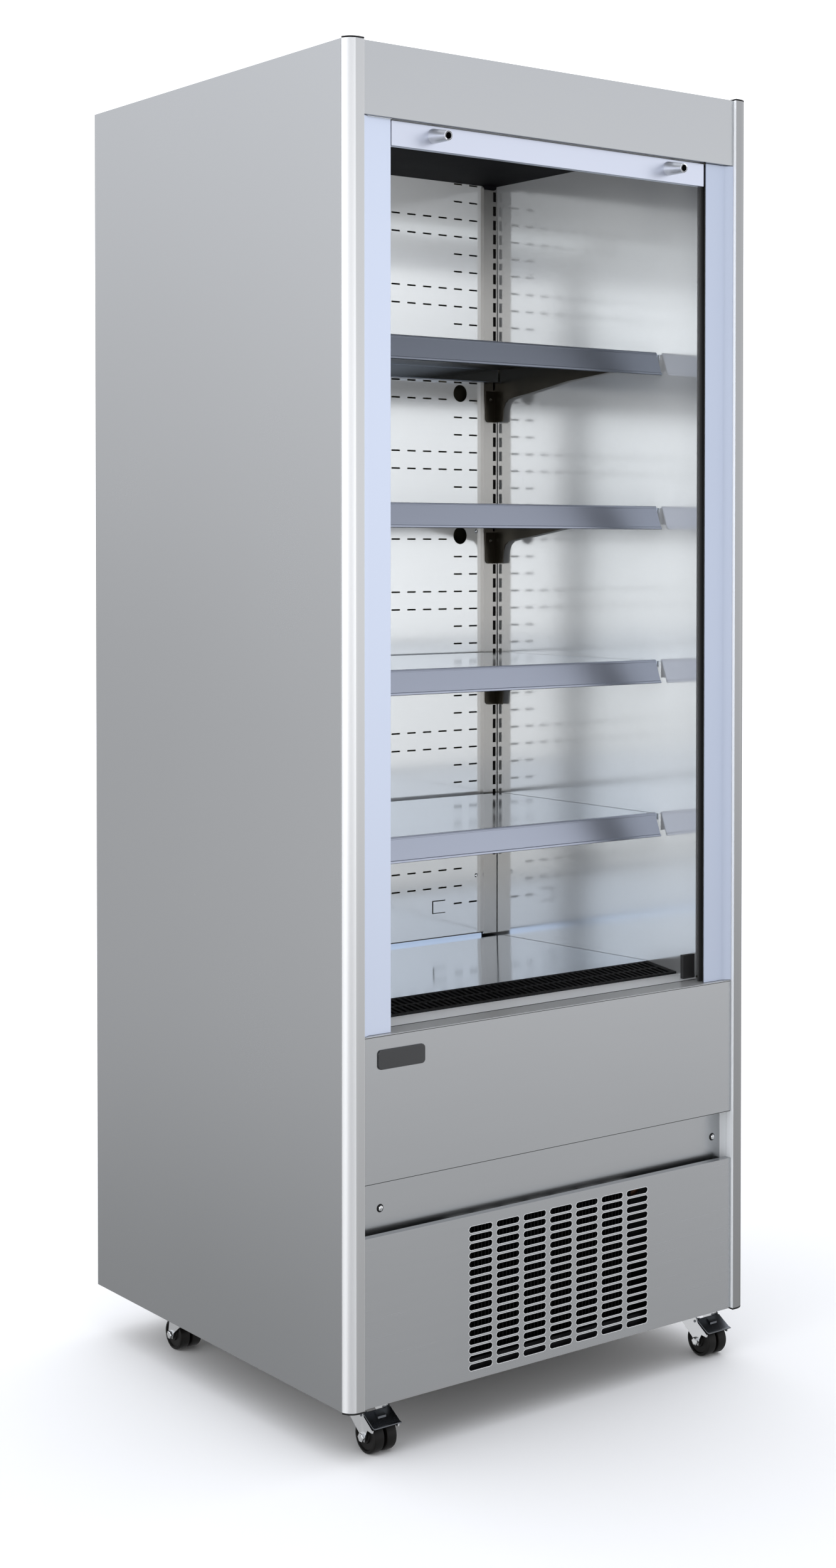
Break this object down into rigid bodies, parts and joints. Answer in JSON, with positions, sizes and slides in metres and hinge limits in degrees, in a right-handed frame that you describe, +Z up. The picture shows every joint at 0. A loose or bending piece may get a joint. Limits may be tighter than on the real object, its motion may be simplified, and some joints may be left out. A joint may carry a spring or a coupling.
{
  "type": "open multideck display fridge",
  "caption": "Tall open-front chilled display cabinet with tilted price rails on bracketed shelves, roll-down night blind, slotted lower panel and swivel castors.",
  "frame": {"origin": "on the floor, under the middle of the object's box", "axes": "+Z up, -Y towards the open front, +X to the right seen from the front"},
  "size_m": [0.78, 0.738, 2.0025],
  "materials": {
    "outer_steel": "satin brushed",
    "inner_steel": "half-bright brushed",
    "shelf_steel": "half-bright",
    "upright_steel": "satin",
    "post_aluminium": "satin anodised",
    "strip_aluminium": "satin anodised",
    "rail_aluminium": "satin",
    "bar_aluminium": "satin",
    "sill_steel": "half-bright",
    "black_paint": "satin black",
    "black_plastic": "fine matt",
    "badge_black": "gloss",
    "lamp_lens": "opal",
    "blind_cloth": "tight weave",
    "galvanised": "galvanised",
    "insulation": "cut foam",
    "zinc_steel": "zinc plated",
    "pedal_steel": "dark zinc",
    "wheel_black": "fine matt",
    "copper": "drawn tube",
    "fin_aluminium": "mill finish",
    "motor_black": "semi-gloss black",
    "fan_plastic": "moulded",
    "control_grey": "moulded",
    "screw_steel": "bright"
  },
  "bodies": {
    "cabinet": {"foam_body": "insulation", "base_pan": "galvanised", "side_skin_right": "outer_steel", "side_skin_left": "outer_steel", "back_skin": "galvanised", "roof_skin": "galvanised", "liner_right": "inner_steel", "liner_left": "inner_steel", "duct_panel": "inner_steel", "ceiling_panel": "black_paint", "air_outlet": "black_plastic", "lamp": "lamp_lens", "fascia": "outer_steel", "front_panel": "outer_steel", "screw_strip": "outer_steel", "panel_screws": "screw_steel", "vent_panel": "outer_steel", "badge_plate": "badge_black", "post_right": "post_aluminium", "post_left": "post_aluminium", "post_caps": "black_plastic", "opening_strips": "strip_aluminium", "blind_guides": "black_paint", "uprights": "upright_steel", "shelf_brackets": "shelf_steel", "shelf_1": "shelf_steel", "shelf_2": "shelf_steel", "shelf_3": "shelf_steel", "shelf_4": "shelf_steel", "price_rails": "rail_aluminium", "deck_pan": "shelf_steel", "intake_grille": "black_plastic", "sill_cover": "sill_steel", "blind_brackets": "galvanised", "condenser": "motor_black", "fan_mount": "galvanised", "compressor": "motor_black", "pipework": "copper", "evaporator": "fin_aluminium", "evap_fan_mount": "galvanised", "control_box": "control_grey", "power_inlet": "black_plastic", "castor_plates": "zinc_steel"},
    "blind_bar_set": {"blind_bar": "bar_aluminium", "bar_knobs": "bar_aluminium", "blind_curtain": "blind_cloth"},
    "blind_roll": {"blind_roller": "bar_aluminium", "blind_winding": "blind_cloth"},
    "fan_rotor": {"fan_blades": "fan_plastic"},
    "evap_fan_rotor": {"evap_fan_blades": "fan_plastic"},
    "castor_front_left": {"fork_front_left": "zinc_steel"},
    "castor_wheel_front_left": {"wheel_front_left": "wheel_black"},
    "brake_left": {"pedal_front_left": "pedal_steel"},
    "castor_front_right": {"fork_front_right": "zinc_steel"},
    "castor_wheel_front_right": {"wheel_front_right": "wheel_black"},
    "brake_right": {"pedal_front_right": "pedal_steel"},
    "castor_rear_left": {"fork_rear_left": "zinc_steel"},
    "castor_wheel_rear_left": {"wheel_rear_left": "wheel_black"},
    "castor_rear_right": {"fork_rear_right": "zinc_steel"},
    "castor_wheel_rear_right": {"wheel_rear_right": "wheel_black"}
  },
  "joints": [
    {"name": "blind_pull", "type": "slide", "parent": "cabinet", "child": "blind_bar_set", "axis": [0, 0, -1], "range_m": [0, 1.253], "stiffness_N_per_m": 9, "springref_m": -0.75, "deforming": ["blind_curtain"]},
    {"name": "blind_roll_turn", "type": "hinge", "parent": "cabinet", "child": "blind_roll", "pos_m": [0, -0.3077, 1.945], "axis": [1, 0, 0], "range_deg": [0, 4188]},
    {"name": "fan_spin", "type": "hinge", "parent": "cabinet", "child": "fan_rotor", "pos_m": [0, -0.247, 0.194], "axis": [0, 1, 0], "continuous": true},
    {"name": "evap_fan_spin", "type": "hinge", "parent": "cabinet", "child": "evap_fan_rotor", "pos_m": [0, -0.092, 0.51], "axis": [0, 1, 0], "continuous": true},
    {"name": "swivel_front_left", "type": "hinge", "parent": "cabinet", "child": "castor_front_left", "pos_m": [-0.314, -0.288, 0.067], "axis": [0, 0, 1], "continuous": true},
    {"name": "roll_front_left", "type": "hinge", "parent": "castor_front_left", "child": "castor_wheel_front_left", "pos_m": [-0.314, -0.308, 0.025], "axis": [1, 0, 0], "continuous": true},
    {"name": "brake_press_left", "type": "hinge", "parent": "castor_front_left", "child": "brake_left", "pos_m": [-0.314, -0.305, 0.056], "axis": [1, 0, 0], "range_deg": [0, 5], "stiffness_Nm_per_rad": 1.2, "springref_deg": -11.46},
    {"name": "swivel_front_right", "type": "hinge", "parent": "cabinet", "child": "castor_front_right", "pos_m": [0.342, -0.288, 0.067], "axis": [0, 0, 1], "continuous": true},
    {"name": "roll_front_right", "type": "hinge", "parent": "castor_front_right", "child": "castor_wheel_front_right", "pos_m": [0.342, -0.308, 0.025], "axis": [1, 0, 0], "continuous": true},
    {"name": "brake_press_right", "type": "hinge", "parent": "castor_front_right", "child": "brake_right", "pos_m": [0.342, -0.305, 0.056], "axis": [1, 0, 0], "range_deg": [0, 5], "stiffness_Nm_per_rad": 1.2, "springref_deg": -11.46},
    {"name": "swivel_rear_left", "type": "hinge", "parent": "cabinet", "child": "castor_rear_left", "pos_m": [-0.314, 0.203, 0.067], "axis": [0, 0, 1], "continuous": true},
    {"name": "roll_rear_left", "type": "hinge", "parent": "castor_rear_left", "child": "castor_wheel_rear_left", "pos_m": [-0.314, 0.223, 0.025], "axis": [1, 0, 0], "continuous": true},
    {"name": "swivel_rear_right", "type": "hinge", "parent": "cabinet", "child": "castor_rear_right", "pos_m": [0.342, 0.203, 0.067], "axis": [0, 0, 1], "continuous": true},
    {"name": "roll_rear_right", "type": "hinge", "parent": "castor_rear_right", "child": "castor_wheel_rear_right", "pos_m": [0.342, 0.223, 0.025], "axis": [1, 0, 0], "continuous": true}
  ],
  "couplings": [
    {"joint": "blind_roll_turn", "follows": "blind_pull", "rad_per_m": 58.309}
  ]
}
